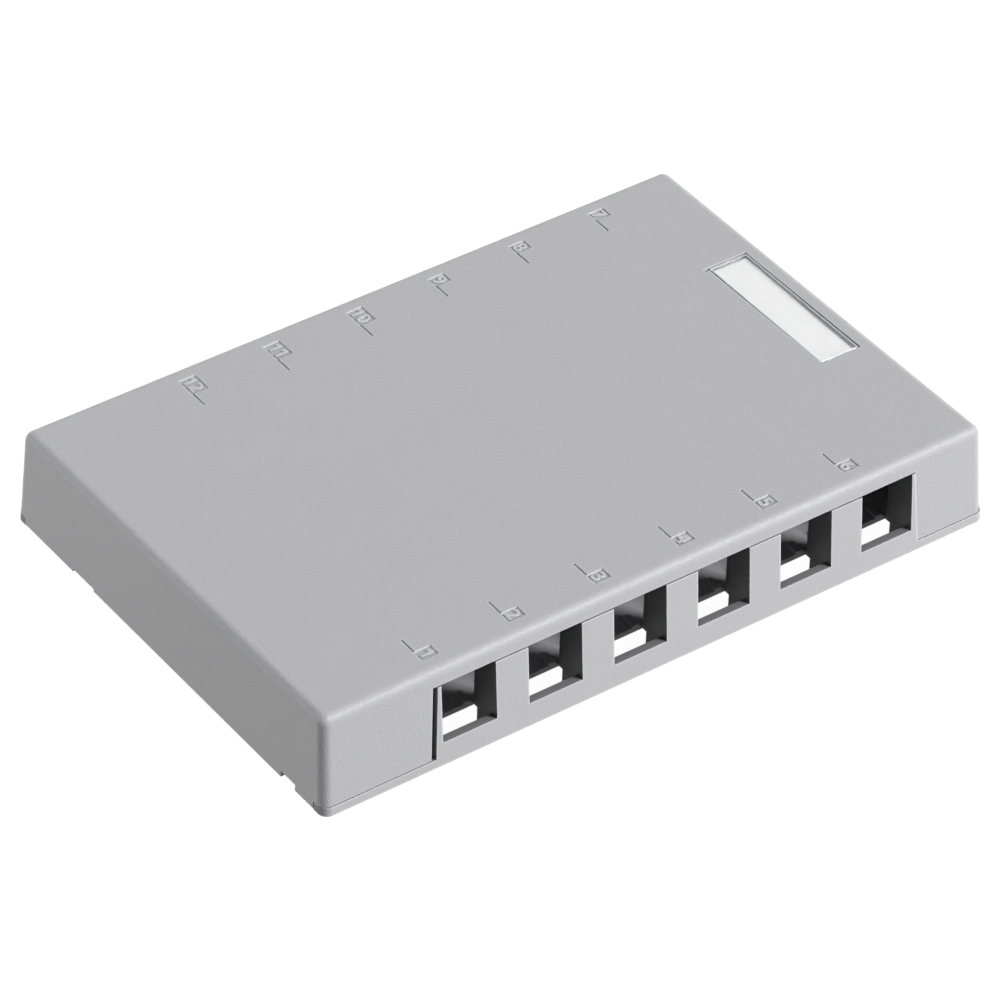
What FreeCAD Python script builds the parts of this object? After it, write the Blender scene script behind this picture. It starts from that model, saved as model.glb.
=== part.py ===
import FreeCAD, Part
import math
import os

os.makedirs("parts", exist_ok=True)
V = FreeCAD.Vector

# Surface mount jack box, twelve ports in two rows. Millimetres, +Z up. The origin is the middle
# of the cover's footprint on the wall or table. X runs along the port rows, -Y is the front row.

# Cover: one moulding, a drafted five-sided shell
cover_length = 186.2
cover_depth = 126.0
cover_height = 26.3
end_draft = 0.038
side_draft = 0.075
cover_wall = 2.2
cover_top = 2.2
cover_round = 2.4
inner_round = 0.8

# Base: one moulding, a floor with a plinth under both long walls of the cover
floor_thickness = 1.4
plinth_height = 2.3
plinth_width = 3.0
plinth_proud = 0.3
plinth_wrap = 3.9
wrap_gap = 0.1
plinth_end_proud = 0.05
seat_gap = 0.05
end_wall_lift = 0.3
end_play = 0.8
base_shift = 0.15

# Port strips of the base, and the openings they fill in the cover's long walls
ports_per_row = 6
port_pitch = 23.5
port_width = 14.65
port_bottom = 6.15
port_top = 21.75
row_offset = 4.7
strip_shift = 0.5
strip_wall = 2.2
side_wall = 1.5
side_wall_depth = 8.1
tail_wall = 1.1
tail_depth = 10.0
tail_bottom = 3.7
floor_gap_depth = 12.9
floor_gap_margin = 2.7
floor_rib_width = 2.0
floor_rib_height = 0.6
floor_rib_length = 4.0
end_post_top = 0.93
end_post_slope = 0.053
strip_side_gap = 0.6
lintel_gap = 0.15

# Locating ribs and snap tabs that stand on the floor inside the cover
rib_thickness = 1.2
rib_height = 6.0
rib_gap = 0.25
rib_margin = 4.0
tab_width = 9.0
tab_thickness = 1.6
tab_height = 13.0
tab_spacing = 70.0
nose_reach = 1.2
nose_height = 3.0
catch_reach = 0.5
catch_height = 1.2
catch_root = 0.3
catch_gap = 0.05

# Screw slots, cable entry and cable-tie anchors in the floor
slot_width = 4.4
slot_length = 9.0
corner_slot_x = 150.0
corner_slot_y = 76.0
gang_slot_x = 83.3
boss_height = 1.0
boss_margin = 2.2
entry_length = 60.0
entry_width = 28.0
entry_round = 4.0
entry_rim = 1.4
entry_rim_height = 2.0
anchor_x = 120.0
anchor_y = 30.0
anchor_length = 10.0
anchor_width = 5.0
anchor_height = 5.5
anchor_tunnel_length = 6.0
anchor_tunnel_height = 2.6

# Notches in the lower edge of the cover's end walls
pry_notch_inset = 13.7
pry_notch_width = 5.5
pry_notch_height = 1.9
low_notch_inset = 28.6
low_notch_width = 8.8
low_notch_height = 1.0

# Number pockets in the top: one beside each port, with a leader groove towards the middle
pocket_length = 4.6
pocket_width_one = 3.5
pocket_width_two = 6.0
pocket_depth = 0.45
pocket_inset = 6.5
front_pocket_offset = -8.45
back_pocket_offset = 1.75
leader_length = 4.75
leader_width = 0.5
first_two_figure_number = 10

# Label recess near the right end, with its card and clear window
label_inset = 11.3
label_y = 0.8
label_length = 44.5
label_width = 11.65
label_depth = 2.0
window_seat_depth = 1.6
card_pocket_margin = 0.4
tray_wall = 1.3
tray_floor = 1.2
finger_notch = 1.1
window_side_gap = 0.3
window_end_gap = 0.35
window_thickness = 1.45
window_round = 0.4
window_bevel = 0.25
window_skew = -0.4
window_bump = 0.9
card_width = 9.7
card_end_gap = 0.4
card_thickness = 0.25
card_skew = -1.2

# Heights closer together than this count as the same height
same_height = 0.01

# Places that follow from the sizes above
half_length = cover_length / 2
half_depth = cover_depth / 2
strip_half_depth = half_depth + plinth_proud
row_length = (ports_per_row - 1) * port_pitch + port_width
row_start = row_offset + strip_shift - row_length / 2
row_end = row_start + row_length
floor_half_length = half_length - cover_wall - end_play
plinth_half_length = half_length + plinth_end_proud
cover_seat = plinth_height + seat_gap
lintel_height = port_top + lintel_gap
wrap_start = half_depth - plinth_wrap
pocket_outer_edge = half_depth - pocket_inset
label_x = half_length - label_inset


def box(x0, x1, y0, y1, z0, z1):
    return Part.makeBox(x1 - x0, y1 - y0, z1 - z0, V(x0, y0, z0))


def mirrored(shape):
    """The shape turned half a turn about the vertical axis through the origin."""
    copy = shape.copy()
    copy.rotate(V(0, 0, 0), V(0, 0, 1), 180)
    return copy


def corners(half_x, half_y, z):
    return [V(-half_x, -half_y, z), V(half_x, -half_y, z), V(half_x, half_y, z), V(-half_x, half_y, z)]


def face(points):
    return Part.Face(Part.makePolygon(points + points[:1]))


def prism(points, direction):
    return face(points).extrude(direction)


def drafted_block(half_x, half_y, z0, z1):
    """A block whose walls lean in with the cover's drafts; half_x and half_y are its reach at z = 0."""
    foot = corners(half_x - end_draft * z0, half_y - side_draft * z0, z0)
    head = corners(half_x - end_draft * z1, half_y - side_draft * z1, z1)
    faces = [face(foot[::-1]), face(head)]
    for i in range(4):
        j = (i + 1) % 4
        faces.append(face([foot[i], foot[j], head[j], head[i]]))
    return Part.Solid(Part.Shell(faces))


def rounded_but_foot(block, radius):
    foot = block.BoundBox.ZMin
    return block.makeFillet(radius, [e for e in block.Edges if e.BoundBox.ZMax > foot + same_height])


def rounded_uprights(block, radius):
    return block.makeFillet(radius, [e for e in block.Edges if e.BoundBox.ZLength > same_height])


def rounded_plate(length, width, radius, z0, z1):
    return rounded_uprights(box(-length / 2, length / 2, -width / 2, width / 2, z0, z1), radius)


def slot(length, width, z0, z1):
    """A round-ended slot along X, centred on the origin."""
    r = width / 2
    x = length / 2 - r
    outline = Part.Wire([
        Part.LineSegment(V(-x, -r, z0), V(x, -r, z0)).toShape(),
        Part.Arc(V(x, -r, z0), V(x + r, 0, z0), V(x, r, z0)).toShape(),
        Part.LineSegment(V(x, r, z0), V(-x, r, z0)).toShape(),
        Part.Arc(V(-x, r, z0), V(-x - r, 0, z0), V(-x, -r, z0)).toShape(),
    ])
    return Part.Face(outline).extrude(V(0, 0, z1 - z0))


def trapezoid(left, right, z0, z1, slope, y0, y1):
    """A block along Y whose two sides lean in by slope; left and right are its limits at z1."""
    drop = slope * (z1 - z0)
    points = [V(left - drop, y0, z0), V(right + drop, y0, z0), V(right, y0, z1), V(left, y0, z1)]
    return prism(points, V(0, y1 - y0, 0))


def number_pocket(number):
    """The pocket and leader groove of one number, cut down from the top face."""
    width = pocket_width_two if number >= first_two_figure_number else pocket_width_one
    z0, z1 = cover_height - pocket_depth, cover_height + 1
    if number <= ports_per_row:
        centre = row_offset + (number - (ports_per_row + 1) / 2) * port_pitch
        x0 = centre + front_pocket_offset
        y0, y1 = -pocket_outer_edge, -pocket_outer_edge + width
        leader = box(x0, x0 + leader_width, y1, y1 + leader_length, z0, z1)
    else:
        centre = row_offset + ((3 * ports_per_row + 1) / 2 - number) * port_pitch
        x0 = centre + back_pocket_offset
        y0, y1 = pocket_outer_edge - width, pocket_outer_edge
        leader = box(x0, x0 + leader_width, y0 - leader_length, y0, z0, z1)
    return box(x0, x0 + pocket_length, y0, y1, z0, z1).fuse(leader)


def label_block(margin, z0, z1):
    half_x, half_y = label_width / 2 + margin, label_length / 2 + margin
    return box(label_x - half_x, label_x + half_x, label_y - half_y, label_y + half_y, z0, z1)


def end_notch(place, width, height):
    """A notch in the lower edge of the left end wall."""
    return box(-half_length - 1, -half_length + cover_wall + 1, place - width / 2, place + width / 2,
               end_wall_lift - 1, height)


def end_catches():
    """Two ridges inside the right end wall, just under the noses of the snap tabs."""
    z0 = tab_height - nose_height - catch_height - catch_gap
    ridges = []
    for side in (-1, 1):
        y0 = side * tab_spacing / 2 - tab_width / 2
        wall_low = half_length - cover_wall - end_draft * z0
        wall_high = wall_low - end_draft * catch_height
        points = [V(wall_low + catch_root, y0, z0), V(wall_low, y0, z0),
                  V(wall_high - catch_reach, y0, z0 + catch_height),
                  V(wall_high + catch_root, y0, z0 + catch_height)]
        ridges.append(prism(points, V(0, tab_width, 0)))
    return ridges


def make_cover():
    outer = drafted_block(half_length, half_depth, 0, cover_height)
    inner = drafted_block(half_length - cover_wall, half_depth - cover_wall, -1, cover_height - cover_top)
    shell = rounded_but_foot(outer, cover_round).cut(rounded_but_foot(inner, inner_round))
    tray = label_block(tray_wall, cover_height - label_depth - tray_floor, cover_height - cover_top / 2)
    ridges = end_catches()
    shell = shell.multiFuse([tray] + ridges + [mirrored(r) for r in ridges])
    cuts = [box(-half_length - 1, half_length + 1, -half_depth - 1, half_depth + 1, -1, end_wall_lift)]
    for side in (-1, 1):
        y0, y1 = sorted((side * wrap_start, side * (half_depth + 1)))
        cuts.append(box(-half_length - 1, half_length + 1, y0, y1, -1, cover_seat))
    left = row_offset - row_length / 2 - end_post_top - strip_side_gap
    right = row_offset + row_length / 2 + end_post_top + strip_side_gap
    front_opening = trapezoid(left, right, 0, lintel_height, end_post_slope, -half_depth - 1, -wrap_start)
    back_opening = trapezoid(left, right, 0, lintel_height, end_post_slope, wrap_start, half_depth + 1)
    notches = [end_notch(pry_notch_inset - half_depth, pry_notch_width, pry_notch_height),
               end_notch(half_depth - low_notch_inset, low_notch_width, low_notch_height)]
    cuts += [front_opening, back_opening] + notches + [mirrored(n) for n in notches]
    cuts.append(label_block(0, cover_height - window_seat_depth, cover_height + 1))
    cuts.append(label_block(-card_pocket_margin, cover_height - label_depth, cover_height))
    corner_x, corner_y = label_x - label_width / 2, label_y + label_length / 2
    cuts.append(box(corner_x - finger_notch, corner_x + finger_notch, corner_y - finger_notch, corner_y,
                    cover_height - window_seat_depth, cover_height + 1))
    cuts += [number_pocket(n) for n in range(1, 2 * ports_per_row + 1)]
    return shell.cut(cuts)


def strip_profile(y_in, y_out, z0, z1):
    """Profile of a front wall that leans with the cover's long walls, y_in and y_out at the table."""
    return [V(0, -y_out + side_draft * z0, z0), V(0, -y_out + side_draft * z1, z1),
            V(0, -y_in + side_draft * z1, z1), V(0, -y_in + side_draft * z0, z0)]


def side_wall_at(edge, away):
    """One guide wall beside a port: full height, then a thinner tail clear of the floor.

    edge is the port's side, and away is 1 where the wall lies on its +X side, else -1.
    """
    start = -(strip_half_depth - side_draft * port_top - strip_wall / 6)
    wall_end = -(strip_half_depth - side_wall_depth)
    tail_end = -(strip_half_depth - tail_depth)
    x0, x1 = sorted((edge, edge + away * side_wall))
    wall = box(x0, x1, start, wall_end, 0, port_top)
    x0, x1 = sorted((edge + away * side_wall, edge + away * (side_wall - tail_wall)))
    return wall.fuse(box(x0, x1, start, tail_end, tail_bottom, port_top))


def front_strip():
    """The front port strip: a comb of posts, open at the top, with two guide walls to each port."""
    left, right = row_start - end_post_top, row_end + end_post_top
    reach = end_post_slope * port_top
    profile = strip_profile(strip_half_depth - strip_wall, strip_half_depth, 0, port_top)
    for point in profile:
        point.x = left - reach
    strip = prism(profile, V(right - left + 2 * reach, 0, 0))
    walls = []
    openings = []
    for i in range(ports_per_row):
        x0 = row_start + i * port_pitch
        walls.append(side_wall_at(x0, -1))
        walls.append(side_wall_at(x0 + port_width, 1))
        openings.append(box(x0, x0 + port_width, -strip_half_depth - 1,
                            -strip_half_depth + tail_depth + 1, port_bottom, port_top + 1))
    limit = trapezoid(left, right, -1, port_top, end_post_slope, -strip_half_depth - 1,
                      -strip_half_depth + tail_depth + 1)
    return strip.multiFuse(walls).common(limit).cut(openings)


def floor_openings():
    """The holes in the floor behind the front ports, wider than each port with its guide walls."""
    y0, y1 = -(strip_half_depth - strip_wall), -(strip_half_depth - floor_gap_depth)
    holes = []
    for i in range(ports_per_row):
        x0 = row_start + i * port_pitch
        holes.append(box(x0 - floor_gap_margin, x0 + port_width + floor_gap_margin, y0, y1,
                         -1, plinth_height + 1))
    return holes


def floor_ribs():
    """Low ribs on the floor behind the openings, one in line with each guide wall."""
    start = -(strip_half_depth - floor_gap_depth)
    ribs = []
    for i in range(ports_per_row):
        x0 = row_start + i * port_pitch
        for centre in (x0 - side_wall / 2, x0 + port_width + side_wall / 2):
            ribs.append(box(centre - floor_rib_width / 2, centre + floor_rib_width / 2,
                            start, start + floor_rib_length,
                            floor_thickness / 2, floor_thickness + floor_rib_height))
    return ribs


def back_to_front(shapes):
    """Copies of front-row shapes, mirrored to the back row."""
    return [s.mirror(V(0, 0, 0), V(0, 1, 0)) for s in shapes]


def wall_rib(x0, x1):
    """A locating rib on the floor, just inside the front wall of the cover."""
    face = half_depth - cover_wall - side_draft * rib_height - rib_gap
    return box(x0, x1, -face, -face + rib_thickness, floor_thickness / 2, rib_height)


def snap_tab(y):
    """A springy tab inside the right end wall, its nose over the catch ridge."""
    ridge = half_length - cover_wall - end_draft * (tab_height - nose_height) - catch_reach
    tip = ridge - catch_gap - base_shift
    face = tip - nose_reach
    points = [V(face - tab_thickness, y - tab_width / 2, floor_thickness / 2),
              V(face, y - tab_width / 2, floor_thickness / 2),
              V(face, y - tab_width / 2, tab_height - nose_height),
              V(tip, y - tab_width / 2, tab_height - nose_height),
              V(face, y - tab_width / 2, tab_height),
              V(face - tab_thickness, y - tab_width / 2, tab_height)]
    return prism(points, V(0, tab_width, 0))


def tie_anchor(x, y):
    """A low bridge that a cable tie passes under."""
    z0 = floor_thickness / 2
    block = box(x - anchor_length / 2, x + anchor_length / 2, y - anchor_width / 2, y + anchor_width / 2,
                z0, floor_thickness + anchor_height)
    tunnel = box(x - anchor_tunnel_length / 2, x + anchor_tunnel_length / 2, y - anchor_width,
                 y + anchor_width, floor_thickness, floor_thickness + anchor_tunnel_height)
    return block.cut(tunnel)


def make_plate():
    """The floor with the plinth that carries the cover's long walls and wraps its four corners."""
    plate = drafted_block(plinth_half_length, strip_half_depth, 0, plinth_height)
    plate = rounded_uprights(plate, cover_round)
    band = strip_half_depth - plinth_width
    sink = box(-floor_half_length, floor_half_length, -band, band, floor_thickness, plinth_height + 1)
    end_y = wrap_start + wrap_gap
    right_end = box(floor_half_length, half_length + 1, -end_y, end_y, -1, plinth_height + 1)
    return plate.cut([sink, right_end, mirrored(right_end)])


def corner_slot_places():
    return [(sx * corner_slot_x / 2, sy * corner_slot_y / 2) for sx in (-1, 1) for sy in (-1, 1)]


def floor_fittings():
    """What stands on the floor: snap tabs, slot bosses, the rim of the cable entry and the tie anchors."""
    tabs = [snap_tab(side * tab_spacing / 2) for side in (-1, 1)]
    fittings = tabs + [mirrored(t) for t in tabs]
    for x, y in corner_slot_places():
        boss = slot(slot_length + 2 * boss_margin, slot_width + 2 * boss_margin, 0,
                    floor_thickness + boss_height)
        boss.translate(V(x, y, 0))
        fittings.append(boss)
    fittings.append(rounded_plate(entry_length + 2 * entry_rim, entry_width + 2 * entry_rim,
                                  entry_round + entry_rim, 0, floor_thickness + entry_rim_height))
    for sx in (-1, 1):
        for row in (-1, 0, 1):
            fittings.append(tie_anchor(sx * anchor_x / 2, row * anchor_y))
    return fittings


def screw_and_cable_holes():
    top = floor_thickness + entry_rim_height + 1
    holes = [rounded_plate(entry_length, entry_width, entry_round, -1, top)]
    for x, y in corner_slot_places():
        hole = slot(slot_length, slot_width, -1, top)
        hole.translate(V(x, y, 0))
        holes.append(hole)
    for side in (-1, 1):
        hole = slot(slot_length, slot_width, -1, top)
        hole.translate(V(side * gang_slot_x / 2, 0, 0))
        holes.append(hole)
    for hole in holes:
        hole.translate(V(base_shift, 0, 0))
    return holes


def make_base():
    base = make_plate().multiFuse(floor_fittings())
    base.translate(V(base_shift, 0, 0))
    openings = floor_openings()
    base = base.cut(openings + back_to_front(openings))
    strip_left, strip_right = row_start - end_post_top, row_end + end_post_top
    rib_end = floor_half_length - rib_margin
    front = [front_strip()] + floor_ribs()
    front.append(wall_rib(base_shift - rib_end, strip_left - rib_margin))
    front.append(wall_rib(strip_right + rib_margin, base_shift + rib_end))
    base = base.multiFuse(front + back_to_front(front)).cut(screw_and_cable_holes())
    return base.removeSplitter()


def make_label_window():
    """The clear window, sprung into the recess a little askew, with a round bump at its back end."""
    length = label_length - 2 * window_end_gap
    width = label_width - 2 * window_side_gap
    z0 = cover_height - window_seat_depth + seat_gap
    plate = rounded_plate(width, length, window_round, z0, z0 + window_thickness)
    below_top = z0 + window_thickness - same_height
    plate = plate.makeChamfer(window_bevel, [e for e in plate.Edges if e.BoundBox.ZMin > below_top])
    bump = Part.makeCylinder(window_bump, window_thickness / 2,
                             V(0, length / 2 - window_bump, z0 + window_thickness / 2))
    plate = plate.fuse(bump)
    plate.rotate(V(0, 0, 0), V(0, 0, 1), window_skew)
    plate.translate(V(label_x, label_y, 0))
    return plate


def make_label_card():
    """The blank paper card that lies on the recess floor under the window."""
    length = label_length - 2 * card_pocket_margin - 2 * card_end_gap
    z0 = cover_height - label_depth
    card = box(-card_width / 2, card_width / 2, -length / 2, length / 2, z0, z0 + card_thickness)
    card.rotate(V(0, 0, 0), V(0, 0, 1), card_skew)
    card.translate(V(label_x, label_y, 0))
    return card


def save(shape, name):
    shape.exportStep("parts/" + name + ".step")


save(make_base(), "base")
save(make_cover(), "cover")
save(make_label_window(), "label_window")
save(make_label_card(), "label_card")
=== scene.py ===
import math

import bmesh
import bpy
from mathutils import Matrix, Vector


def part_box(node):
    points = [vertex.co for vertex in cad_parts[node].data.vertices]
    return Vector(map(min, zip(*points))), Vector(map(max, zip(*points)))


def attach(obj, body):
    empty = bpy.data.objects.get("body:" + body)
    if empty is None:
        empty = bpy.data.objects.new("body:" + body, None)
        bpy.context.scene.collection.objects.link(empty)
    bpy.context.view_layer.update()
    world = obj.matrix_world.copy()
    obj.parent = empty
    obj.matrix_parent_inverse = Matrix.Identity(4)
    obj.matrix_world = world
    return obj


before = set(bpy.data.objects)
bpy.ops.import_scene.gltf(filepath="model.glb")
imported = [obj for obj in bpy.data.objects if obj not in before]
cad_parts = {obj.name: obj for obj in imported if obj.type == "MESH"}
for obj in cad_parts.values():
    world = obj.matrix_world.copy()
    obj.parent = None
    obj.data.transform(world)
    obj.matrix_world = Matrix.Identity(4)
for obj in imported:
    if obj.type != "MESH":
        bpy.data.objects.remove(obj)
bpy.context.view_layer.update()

# Base. One moulding in grey ABS: a floor, a plinth that shows under both long walls, and two
# comb-like port strips with guide walls. Its mould is polished along the draw, so it is smoother
# than the cover and has faint upright lines. Screws hold it to the wall and tabs hold the cover.
GREY = (0.478, 0.478, 0.490, 1.0)
MOTTLE = 0.03
MOTTLES_PER_METRE = 55.0
GRAINS_PER_METRE = 2600.0
GRAIN_HEIGHT = 0.00012
SMOOTHEST, ROUGHEST = 0.32, 0.46
EDGE_RADIUS = 0.00018
EDGE_REACH = 0.0005
CORNER_REACH = 0.0007
LINES_PER_METRE = 1500.0
LINE_STRETCH = 0.02
LINE_HEIGHT = 0.00008
PORT_REACH = 0.04
PORT_ROUGHENING = 0.35
STRIP_BACK, STRIP_FRONT = 0.050, 0.052


def node(tree, kind, inputs=None, **settings):
    """A new node; inputs holds a constant or a source socket for each input, by name or place."""
    made = tree.nodes.new(kind)
    for key, value in settings.items():
        setattr(made, key, value)
    for key, value in (inputs or {}).items():
        if isinstance(value, bpy.types.NodeSocket):
            tree.links.new(value, made.inputs[key])
        else:
            made.inputs[key].default_value = value
    return made


def calculate(tree, operation, *values):
    return node(tree, "ShaderNodeMath", dict(enumerate(values)), operation=operation).outputs[0]


def object_place(tree):
    return node(tree, "ShaderNodeTexCoord").outputs["Object"]


def spread(tree, value, low, high, start=0.0, end=1.0):
    """A value that goes from low to high while the given one goes from start to end."""
    return node(tree, "ShaderNodeMapRange", {"Value": value, "From Min": start, "From Max": end,
                                             "To Min": low, "To Max": high}).outputs["Result"]


def share_hidden(tree, distance, **settings):
    """0 in the open, and up to 1 where other surfaces lie closer than the distance."""
    around = node(tree, "ShaderNodeAmbientOcclusion", {"Distance": distance}, samples=8, **settings)
    return calculate(tree, "SUBTRACT", 1.0, around.outputs["AO"])


def surface_normal(tree):
    """X, Y and Z of the surface's normal, as the outputs of one node."""
    facing = node(tree, "ShaderNodeNewGeometry")
    return node(tree, "ShaderNodeSeparateXYZ", {"Vector": facing.outputs["Normal"]}).outputs


def moulded_grain_group():
    """Colour, roughness and height of an eroded mould texture, with a painted highlight on edges and painted
    shade in corners.
    """
    tree = bpy.data.node_groups.new("grain_and_painted_light", "ShaderNodeTree")
    for label, kind, default in [
            ("Tint", "NodeSocketColor", GREY), ("Edge Radius", "NodeSocketFloat", EDGE_RADIUS),
            ("Edge Lightening", "NodeSocketFloat", 0.55), ("Corner Darkening", "NodeSocketFloat", 0.5),
            ("Corner Reach", "NodeSocketFloat", CORNER_REACH), ("Flat Roughening", "NodeSocketFloat", 0.0)]:
        socket = tree.interface.new_socket(label, in_out="INPUT", socket_type=kind)
        socket.default_value = default
    for label, kind in [("Colour", "NodeSocketColor"), ("Roughness", "NodeSocketFloat"),
                        ("Height", "NodeSocketFloat"), ("Normal", "NodeSocketVector")]:
        tree.interface.new_socket(label, in_out="OUTPUT", socket_type=kind)
    given = node(tree, "NodeGroupInput").outputs

    place = object_place(tree)
    grain = node(tree, "ShaderNodeTexNoise", {"Vector": place, "Scale": GRAINS_PER_METRE,
                                              "Detail": 2.0, "Roughness": 0.6}).outputs["Fac"]
    cloud = node(tree, "ShaderNodeTexNoise", {"Vector": place, "Scale": MOTTLES_PER_METRE,
                                              "Detail": 3.0}).outputs["Fac"]
    uneven = calculate(tree, "SUBTRACT", calculate(tree, "ADD", cloud, grain), 1.0)
    shade = calculate(tree, "MULTIPLY", uneven, MOTTLE)
    # Painted highlight: the colour is lighter on convex edges, by Edge Lightening.
    edge = share_hidden(tree, EDGE_REACH, inside=True, only_local=True)
    pale = calculate(tree, "MULTIPLY", edge, given["Edge Lightening"])
    # Painted shade: the colour is darker in corners and hollows, by Corner Darkening within Corner Reach.
    corner = share_hidden(tree, given["Corner Reach"])
    painted_corner_shade = calculate(tree, "MULTIPLY", corner, given["Corner Darkening"])
    level = calculate(tree, "ADD", calculate(tree, "ADD", shade, 1.0), pale)
    level = calculate(tree, "SUBTRACT", level, painted_corner_shade)
    tone = node(tree, "ShaderNodeVectorMath", {0: given["Tint"], "Scale": level}, operation="SCALE")
    flat_top = spread(tree, surface_normal(tree)["Z"], 0.0, 1.0, start=0.95, end=0.998)
    coarser = calculate(tree, "MULTIPLY", flat_top, given["Flat Roughening"])
    rough = spread(tree, grain, SMOOTHEST, ROUGHEST, start=0.3, end=0.7)
    rounded = node(tree, "ShaderNodeBevel", {"Radius": given["Edge Radius"]}, samples=4)
    node(tree, "NodeGroupOutput", {"Colour": tone.outputs["Vector"],
                                   "Roughness": calculate(tree, "ADD", rough, coarser),
                                   "Height": grain, "Normal": rounded.outputs["Normal"]})
    return tree


grain_and_painted_light = moulded_grain_group()


def new_material(name):
    material = bpy.data.materials.new(name)
    material.use_nodes = True
    return material, material.node_tree, material.node_tree.nodes["Principled BSDF"]


def moulded_plastic(name, grain_strength, **look):
    """Grey moulded plastic; look holds inputs of the moulded grain and its painted highlight and shade, such
    as edge_radius.
    """
    material, tree, shader = new_material(name)
    inputs = {label.replace("_", " ").title(): value for label, value in look.items()}
    surface = node(tree, "ShaderNodeGroup", inputs, node_tree=grain_and_painted_light)
    bump = node(tree, "ShaderNodeBump", {"Strength": grain_strength, "Distance": GRAIN_HEIGHT,
                                         "Height": surface.outputs["Height"],
                                         "Normal": surface.outputs["Normal"]})
    tree.links.new(surface.outputs["Colour"], shader.inputs["Base Color"])
    tree.links.new(surface.outputs["Roughness"], shader.inputs["Roughness"])
    tree.links.new(bump.outputs["Normal"], shader.inputs["Normal"])
    shader.inputs["Specular IOR Level"].default_value = 0.45
    return material


def source_of(socket):
    return socket.links[0].from_socket


def add_drawn_lines(material, strength):
    """Fine upright lines, as a mould that is polished along its draw leaves them."""
    tree, shader = material.node_tree, material.node_tree.nodes["Principled BSDF"]
    stretched = node(tree, "ShaderNodeVectorMath", {0: object_place(tree), 1: (1.0, 1.0, LINE_STRETCH)},
                     operation="MULTIPLY")
    lines = node(tree, "ShaderNodeTexNoise", {"Vector": stretched.outputs["Vector"],
                                              "Scale": LINES_PER_METRE, "Detail": 1.0})
    drag = node(tree, "ShaderNodeBump", {"Strength": strength, "Distance": LINE_HEIGHT,
                                         "Height": lines.outputs["Fac"],
                                         "Normal": source_of(shader.inputs["Normal"])})
    tree.links.new(drag.outputs["Normal"], shader.inputs["Normal"])


def dull_the_ports(material):
    """Painted shade in the ports: a darker colour on the side walls and sills, the deeper the more, and
    rougher plastic there.
    """
    tree, shader = material.node_tree, material.node_tree.nodes["Principled BSDF"]
    axes = node(tree, "ShaderNodeSeparateXYZ", {"Vector": object_place(tree)})
    in_strip = spread(tree, calculate(tree, "ABSOLUTE", axes.outputs["Y"]), 0.0, 1.0,
                      start=STRIP_BACK, end=STRIP_FRONT)
    inward = spread(tree, calculate(tree, "ABSOLUTE", surface_normal(tree)["Y"]), 1.0, 0.0,
                    start=0.3, end=0.7)
    painted_port_shade = calculate(tree, "MULTIPLY", share_hidden(tree, PORT_REACH),
                     calculate(tree, "MULTIPLY", in_strip, inward))
    darker = node(tree, "ShaderNodeVectorMath", {0: source_of(shader.inputs["Base Color"]),
                                                 "Scale": calculate(tree, "SUBTRACT", 1.0, painted_port_shade)},
                  operation="SCALE")
    rougher = calculate(tree, "ADD", source_of(shader.inputs["Roughness"]),
                        calculate(tree, "MULTIPLY", painted_port_shade, PORT_ROUGHENING))
    tree.links.new(darker.outputs["Vector"], shader.inputs["Base Color"])
    tree.links.new(rougher, shader.inputs["Roughness"])


def finish_with(node_name, material):
    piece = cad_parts[node_name]
    piece.data.materials.clear()
    piece.data.materials.append(material)
    for polygon in piece.data.polygons:
        polygon.material_index = 0


# The base's colour has a painted highlight on its edges, a little painted shade in its corners and painted
# shade deep in the ports.
base_plastic = moulded_plastic("base_grey_abs", 0.25, edge_radius=0.0003, edge_lightening=0.9,
                               corner_darkening=0.2)
add_drawn_lines(base_plastic, 0.25)
dull_the_ports(base_plastic)
finish_with("base", base_plastic)

# Cover. One moulding in the same grey ABS, a drafted shell that snaps down over the base. Its
# texture is eroded into the mould and reads as a fine sparkle where the rounded edges catch light.
# The cover's colour has the default painted highlight on its edges and a little painted shade in its corners.
cover_plastic = moulded_plastic("cover_grey_abs", 1.15, corner_darkening=0.15, flat_roughening=0.2)
finish_with("cover", cover_plastic)

# Port numbers. Raised figures, moulded with the cover, one or two in each pocket of its top. Pocket
# and figures have sloping sides and low relief, and a V-shaped leader groove points to the middle
# of the box. The figures have their feet towards the left end of the box.
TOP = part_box("cover")[1].z
POCKET_LENGTH = 0.0046
POCKET_WIDTHS = {1: 0.0035, 2: 0.0060}
POCKET_DEPTH = 0.00045
POCKET_EDGE = 0.0565
POCKET_RELIEF = 0.00027
POCKET_SLOPE = 0.00020
RIM_DROP = 0.00003
CLEARANCE = 0.00001
PORTS_PER_ROW = 6
PORT_PITCH = 0.0235
PORT_ROW_MIDDLE = 0.0047
FRONT_POCKET_OFFSET = -0.00845
BACK_POCKET_OFFSET = 0.00175
LEADER_LENGTH = 0.00475
LEADER_WIDTH = 0.0005
LEADER_DEPTH = 0.00030
FIGURE_HEIGHT = 0.0036
FIGURE_RELIEF = 0.00025
FOOT_SHARE = 0.1

# These are in the units of the typeface, in which a figure is 0.682 high
FIGURE_STEP = 0.5
FIGURE_BLOCK = 0.1
STROKE_SWELL = -0.012
STROKE_SLOPE = 0.036
FLAGGED_ONE = [(0.202, 0), (0.3, 0), (0.3, 0.682), (0.222, 0.682), (0.06, 0.555), (0.06, 0.455),
               (0.202, 0.545)]

# Painted shade: dark outlines in the pocket corners and at the figures' feet; the figures also get a painted
# highlight on their edges.
number_look = {"corner_darkening": 1.0, "corner_reach": 0.0003, "edge_radius": 0.00002}
pocket_plastic = moulded_plastic("pocket_grey_abs", 0.5, edge_lightening=0.0, flat_roughening=0.15,
                                 **number_look)
figure_plastic = moulded_plastic("figure_grey_abs", 0.3, edge_lightening=0.28, **number_look)


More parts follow.
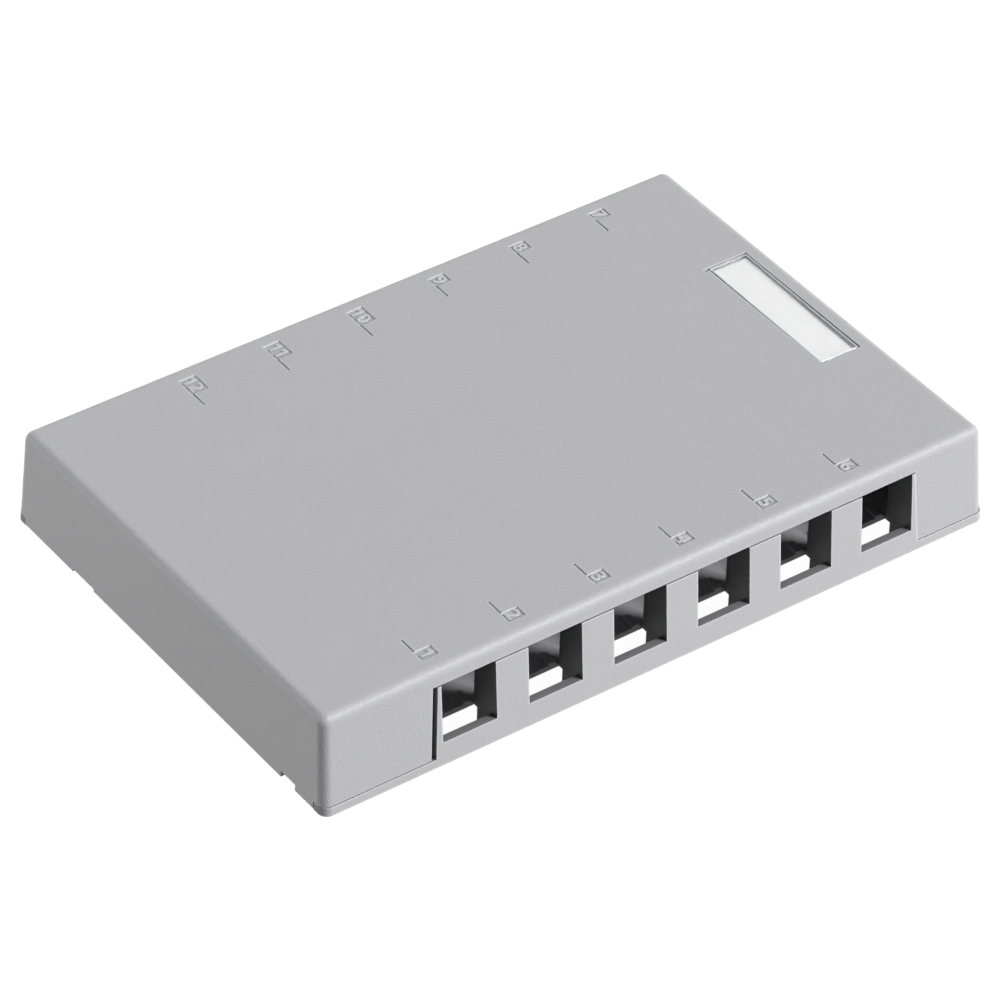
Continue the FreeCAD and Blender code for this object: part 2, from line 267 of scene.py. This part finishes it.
def sloping_pocket(made, x0, x1, y0, y1):
    """A lining whose sides slope down from the top face to a shallow floor; its back fills the pocket."""
    rings = []
    for inset, z in ((CLEARANCE, TOP - POCKET_DEPTH), (CLEARANCE, TOP - RIM_DROP),
                     (CLEARANCE + POCKET_SLOPE, TOP - POCKET_RELIEF)):
        left, right, near, far = x0 + inset, x1 - inset, y0 + inset, y1 - inset
        rings.append([made.verts.new((x, y, z)) for x, y in ((left, near), (right, near),
                                                             (right, far), (left, far))])
    made.faces.new(reversed(rings[0]))
    made.faces.new(rings[2])
    for low, high in zip(rings, rings[1:]):
        for i in range(4):
            made.faces.new((low[i], low[(i + 1) % 4], high[(i + 1) % 4], high[i]))


def leader_groove(made, x0, x1, near, far):
    """A V-shaped lining of the leader groove, from the pocket's edge to its far end."""
    step = math.copysign(1, far - near)
    near, far = near + step * CLEARANCE, far - step * CLEARANCE
    x0, x1, middle = x0 + CLEARANCE, x1 - CLEARANCE, (x0 + x1) / 2
    bottom, rim, valley = TOP - POCKET_DEPTH, TOP - RIM_DROP, TOP - LEADER_DEPTH
    ends = []
    for y, valley_y in ((near, near), (far, far - step * LEADER_WIDTH)):
        section = ((x0, y, bottom), (x1, y, bottom), (x1, y, rim), (middle, valley_y, valley), (x0, y, rim))
        ends.append([made.verts.new(corner) for corner in section])
    first, last = ends if step > 0 else ends[::-1]
    for i in range(5):
        j = (i + 1) % 5
        made.faces.new((first[i], first[j], last[j], last[i]))
    made.faces.new(reversed(first))
    made.faces.new(last)


def figure_curve(character):
    """The outline of one figure; the 1 is drawn here, because the typeface gives it no flag."""
    if character != "1":
        curve = bpy.data.curves.new("figure", "FONT")
        curve.body = character
        return curve
    curve = bpy.data.curves.new("figure", "CURVE")
    curve.dimensions = "2D"
    curve.fill_mode = "BOTH"
    outline = curve.splines.new("POLY")
    outline.points.add(len(FLAGGED_ONE) - 1)
    for point, (across, up) in zip(outline.points, FLAGGED_ONE):
        point.co = (across, up, 0, 1)
    outline.use_cyclic_u = True
    return curve


def raised_figure(character, shift):
    """One figure as a mesh with sloping sides, in the typeface's own units, moved right by shift."""
    curve = figure_curve(character)
    curve.extrude = FIGURE_BLOCK
    curve.bevel_depth = STROKE_SLOPE
    curve.offset = STROKE_SWELL
    holder = bpy.data.objects.new("figure_holder", curve)
    bpy.context.scene.collection.objects.link(holder)
    bpy.context.view_layer.update()
    mesh = bpy.data.meshes.new_from_object(holder.evaluated_get(bpy.context.evaluated_depsgraph_get()))
    bpy.data.objects.remove(holder)
    for vertex in mesh.vertices:
        vertex.co.x += shift
    return mesh


def add_figures(made, text, x, y):
    """Raised figures with their feet towards -X, centred on x, y, in the second material."""
    figures = bmesh.new()
    for place, character in enumerate(text):
        figures.from_mesh(raised_figure(character, place * FIGURE_STEP))
    xs, ys, zs = ([vertex.co[k] for vertex in figures.verts] for k in range(3))
    scale = FIGURE_HEIGHT / (max(ys) - min(ys))
    floor = TOP - POCKET_RELIEF
    for vertex in figures.verts:
        across = (vertex.co.x - (max(xs) + min(xs)) / 2) * scale
        up = (vertex.co.y - (max(ys) + min(ys)) / 2) * scale
        if vertex.co.z > max(zs) - STROKE_SLOPE / 2:
            z = floor + FIGURE_RELIEF
        elif vertex.co.z > 0:
            z = floor + FOOT_SHARE * FIGURE_RELIEF
        else:
            z = floor - CLEARANCE
        vertex.co = (x + up, y - across, z)
    for face in figures.faces:
        face.material_index = 1
    finished = bpy.data.meshes.new("figures")
    figures.to_mesh(finished)
    figures.free()
    made.from_mesh(finished)


def port_number(number):
    text = str(number)
    width = POCKET_WIDTHS[len(text)]
    if number <= PORTS_PER_ROW:
        ports_from_middle = number - (PORTS_PER_ROW + 1) / 2
        x0 = PORT_ROW_MIDDLE + ports_from_middle * PORT_PITCH + FRONT_POCKET_OFFSET
        y0, y1 = -POCKET_EDGE, -POCKET_EDGE + width
        near, far = y1, y1 + LEADER_LENGTH
    else:
        ports_from_middle = (3 * PORTS_PER_ROW + 1) / 2 - number
        x0 = PORT_ROW_MIDDLE + ports_from_middle * PORT_PITCH + BACK_POCKET_OFFSET
        y0, y1 = POCKET_EDGE - width, POCKET_EDGE
        near, far = y0, y0 - LEADER_LENGTH
    made = bmesh.new()
    sloping_pocket(made, x0, x0 + POCKET_LENGTH, y0, y1)
    leader_groove(made, x0, x0 + LEADER_WIDTH, near, far)
    add_figures(made, text, x0 + POCKET_LENGTH / 2, (y0 + y1) / 2)
    mesh = bpy.data.meshes.new("port_number")
    made.to_mesh(mesh)
    made.free()
    mesh.materials.append(pocket_plastic)
    mesh.materials.append(figure_plastic)
    piece = bpy.data.objects.new(f"port_number_{number:02d}", mesh)
    bpy.context.scene.collection.objects.link(piece)
    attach(piece, "cover")


for number in range(1, 2 * PORTS_PER_ROW + 1):
    port_number(number)

# Label card. A blank card of white paper, cut by hand to fit the window. It lies loose on the
# recess floor, a little askew, and shows short fibres close up.
FIBRES_PER_METRE = 1800.0
FIBRE_HEIGHT = 0.00004


def shades(tree, value, dark, pale):
    """A colour between dark and pale, by a value from 0 to 1."""
    ramp = node(tree, "ShaderNodeValToRGB", {"Fac": value})
    ramp.color_ramp.elements[0].color = dark
    ramp.color_ramp.elements[1].color = pale
    return ramp.outputs["Color"]


card, tree, shader = new_material("white_card")
fibres = node(tree, "ShaderNodeTexNoise", {"Vector": object_place(tree), "Scale": FIBRES_PER_METRE,
                                           "Detail": 4.0}).outputs["Fac"]
bump = node(tree, "ShaderNodeBump", {"Strength": 0.2, "Distance": FIBRE_HEIGHT, "Height": fibres})
tree.links.new(shades(tree, fibres, (0.78, 0.78, 0.78, 1.0), (0.84, 0.84, 0.85, 1.0)),
               shader.inputs["Base Color"])
tree.links.new(bump.outputs["Normal"], shader.inputs["Normal"])
shader.inputs["Roughness"].default_value = 0.85
finish_with("label_card", card)

# Label window. Clear polycarbonate, moulded flat with polished faces, sprung into the recess over
# the card. Faint moulding ripples bend what shows through it.
RIPPLES_PER_METRE = 120.0
RIPPLE_HEIGHT = 0.0001
WINDOW_EDGE_RADIUS = 0.0002

window, tree, shader = new_material("clear_window")
shader.inputs["Base Color"].default_value = (1.0, 1.0, 1.0, 1.0)
shader.inputs["Transmission Weight"].default_value = 1.0
shader.inputs["IOR"].default_value = 1.5
ripple = node(tree, "ShaderNodeTexNoise", {"Vector": object_place(tree),
                                           "Scale": RIPPLES_PER_METRE}).outputs["Fac"]
rounded = node(tree, "ShaderNodeBevel", {"Radius": WINDOW_EDGE_RADIUS}, samples=4)
bump = node(tree, "ShaderNodeBump", {"Strength": 0.05, "Distance": RIPPLE_HEIGHT, "Height": ripple,
                                     "Normal": rounded.outputs["Normal"]})
tree.links.new(bump.outputs["Normal"], shader.inputs["Normal"])
tree.links.new(spread(tree, ripple, 0.02, 0.08), shader.inputs["Roughness"])
finish_with("label_window", window)

# Window rim. The window's upper edges are rounded over and left matt by the mould. Its pale colour,
# paler than the card, is a painted highlight that draws a pale line around the card. It is part of
# the window and lifts out with it.
WINDOW_WIDTH = 0.01105
WINDOW_LENGTH = 0.0438
WINDOW_ROUND = 0.0004
WINDOW_SKEW = math.radians(-0.4)
RIM_RADIUS = 0.00038
RIM_TURN = math.radians(58)
ARC_STEPS = 5
FROST_PER_METRE = 2200.0


def rounded_outline(width, length, radius):
    """Points around a rectangle with round corners, centred on the origin, with their outward way."""
    points = []
    for corner, (sx, sy) in enumerate(((1, 1), (-1, 1), (-1, -1), (1, -1))):
        for i in range(ARC_STEPS + 1):
            turn = math.pi / 2 * (corner + i / ARC_STEPS)
            out_x, out_y = math.cos(turn), math.sin(turn)
            points.append((sx * (width / 2 - radius) + radius * out_x,
                           sy * (length / 2 - radius) + radius * out_y, out_x, out_y))
    return points


def rim_profile():
    """Distance outwards and height of the rim's section: an arc, closed inside the window."""
    arc = [(RIM_RADIUS * (math.sin(a) - 1), RIM_RADIUS * (math.cos(a) - 1))
           for a in (RIM_TURN * i / ARC_STEPS for i in range(ARC_STEPS + 1))]
    return arc + [(-RIM_RADIUS, RIM_RADIUS * (math.cos(RIM_TURN) - 1))]


made = bmesh.new()
rings = [[made.verts.new((x + out_x * away, y + out_y * away, up)) for away, up in rim_profile()]
         for x, y, out_x, out_y in rounded_outline(WINDOW_WIDTH, WINDOW_LENGTH, WINDOW_ROUND)]
for ring, following in zip(rings, rings[1:] + rings[:1]):
    for i in range(len(ring)):
        j = (i + 1) % len(ring)
        made.faces.new((ring[i], ring[j], following[j], following[i]))
bmesh.ops.recalc_face_normals(made, faces=made.faces)
for face in made.faces:
    face.smooth = True
rim = bpy.data.objects.new("window_rim", bpy.data.meshes.new("window_rim"))
made.to_mesh(rim.data)
made.free()
window_low, window_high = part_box("label_window")
centre = (Vector(window_low) + Vector(window_high)) / 2
rim.data.transform(Matrix.Translation((centre.x, centre.y, window_high[2]))
                   @ Matrix.Rotation(WINDOW_SKEW, 4, "Z"))
bpy.context.scene.collection.objects.link(rim)

# Painted highlight: a pale colour, paler than the card; the speckled roughness is the matt finish.
rim_matt_and_painted_highlight, tree, shader = new_material("rim_with_painted_highlight")
frost = node(tree, "ShaderNodeTexNoise", {"Vector": object_place(tree),
                                          "Scale": FROST_PER_METRE}).outputs["Fac"]
tree.links.new(shades(tree, frost, (0.74, 0.76, 0.77, 1.0), (0.90, 0.91, 0.92, 1.0)),
               shader.inputs["Base Color"])
tree.links.new(spread(tree, frost, 0.18, 0.32), shader.inputs["Roughness"])
rim.data.materials.append(rim_matt_and_painted_highlight)
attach(rim, "label_window")

# Studio. A wide white table that shows pure white to the camera and keeps a faint shadow, and an
# even pale surround. Soft lamps stand at the right front, at the left, behind and above, and one
# more at the right front only puts the glint on the rounded edges.
TABLE_HALF = 2.5
TABLE_Z = -0.0002
TABLE_GLOW = 1.12
TABLE_GLOW_SHARE = 0.87
TABLE_GREY, TABLE_WHITE = 0.10, 0.8
AMBIENT = 0.03
WHITE = (1.0, 1.0, 1.0, 1.0)


def seen_directly(tree):
    """1 for camera, mirror and glass rays, which see the white ground as white."""
    path = node(tree, "ShaderNodeLightPath").outputs
    first = calculate(tree, "MAXIMUM", path["Is Camera Ray"], path["Is Glossy Ray"])
    return calculate(tree, "MAXIMUM", first, path["Is Transmission Ray"])


def blend_into(output, tree, share, plain, bright):
    """Feed the output with two shaders, bright by the given share."""
    blend = node(tree, "ShaderNodeMixShader", {"Fac": share, 1: plain, 2: bright})
    tree.links.new(blend.outputs["Shader"], tree.nodes[output].inputs["Surface"])


table_mesh = bpy.data.meshes.new("table")
table_mesh.from_pydata([(x * TABLE_HALF, y * TABLE_HALF, TABLE_Z)
                        for x, y in ((-1, -1), (1, -1), (1, 1), (-1, 1))], [], [(0, 1, 2, 3)])
table = bpy.data.objects.new("table", table_mesh)
bpy.context.scene.collection.objects.link(table)
table_finish, tree, shader = new_material("white_table")
tree.nodes.remove(shader)
paleness = spread(tree, seen_directly(tree), TABLE_GREY, TABLE_WHITE)
plain = node(tree, "ShaderNodeBsdfDiffuse", {"Color": paleness})
glow = node(tree, "ShaderNodeEmission", {"Strength": TABLE_GLOW})
blend_into("Material Output", tree, calculate(tree, "MULTIPLY", seen_directly(tree), TABLE_GLOW_SHARE),
           plain.outputs["BSDF"], glow.outputs["Emission"])
table.data.materials.append(table_finish)

surround = bpy.data.worlds.new("surround")
surround.use_nodes = True
bpy.context.scene.world = surround
tree = surround.node_tree
even = tree.nodes["Background"]
even.inputs["Color"].default_value = WHITE
even.inputs["Strength"].default_value = AMBIENT
white = node(tree, "ShaderNodeBackground", {"Color": WHITE, "Strength": 1.0})
blend_into("World Output", tree, seen_directly(tree), even.outputs["Background"], white.outputs["Background"])


def direction(azimuth, elevation):
    """A unit vector from the box; azimuth 0 is in front of the first row of ports, 90 is to the right."""
    a, e = math.radians(azimuth), math.radians(elevation)
    return Vector((math.sin(a) * math.cos(e), -math.cos(a) * math.cos(e), math.sin(e)))


def softbox(name, azimuth, elevation, distance, side, strength, diffuse=True, gloss=True):
    """A square lamp aimed at the box; strength is the light it throws on a surface that faces it.

    A lamp without gloss shines through a polariser and leaves no glare on smooth plastic.
    """
    lamp = bpy.data.lights.new(name, "AREA")
    lamp.shape = "SQUARE"
    lamp.size = side
    lamp.energy = strength * math.pi ** 2 * distance ** 2
    holder = bpy.data.objects.new(name, lamp)
    holder.location = direction(azimuth, elevation) * distance
    holder.rotation_euler = (-holder.location).to_track_quat("-Z", "Y").to_euler()
    holder.visible_diffuse = diffuse
    holder.visible_transmission = gloss
    holder.visible_glossy = gloss
    bpy.context.scene.collection.objects.link(holder)


softbox("front_softbox", azimuth=35, elevation=23, distance=2.4, side=0.9, strength=1.33, gloss=False)
softbox("front_glint", azimuth=36, elevation=42, distance=2.4, side=0.9, strength=1.0, diffuse=False)
softbox("left_softbox", azimuth=-115, elevation=14, distance=1.0, side=0.5, strength=0.43, gloss=False)
softbox("back_softbox", azimuth=145, elevation=14, distance=1.5, side=0.8, strength=0.35, gloss=False)
softbox("top_softbox", azimuth=180, elevation=65, distance=2.0, side=1.0, strength=0.25)

# Camera. It looks down over the left front corner of the box, as the photograph does. Its angles,
# distance and lens were fitted to the ports, the numbers and the outline in the photograph.
CAMERA_AZIMUTH, CAMERA_ELEVATION = -36.6599, 39.0741
CAMERA_ROLL = math.radians(1.7025)
CAMERA_DISTANCE = 1.378554
CAMERA_RIGHT, CAMERA_UP = -0.000276, 0.004039

back = direction(CAMERA_AZIMUTH, CAMERA_ELEVATION)
level_right = Vector((0, 0, 1)).cross(back).normalized()
level_up = back.cross(level_right)
right = math.cos(CAMERA_ROLL) * level_right + math.sin(CAMERA_ROLL) * level_up
up = -math.sin(CAMERA_ROLL) * level_right + math.cos(CAMERA_ROLL) * level_up
camera = bpy.data.objects.new("camera", bpy.data.cameras.new("camera"))
camera.data.lens = 213.38
camera.data.sensor_width = 36.0
camera_place = back * CAMERA_DISTANCE + right * CAMERA_RIGHT + up * CAMERA_UP
camera.matrix_world = Matrix.Translation(camera_place) @ Matrix((right, up, back)).transposed().to_4x4()
bpy.context.scene.collection.objects.link(camera)
bpy.context.scene.camera = camera

bpy.context.scene.view_settings.view_transform = "Standard"
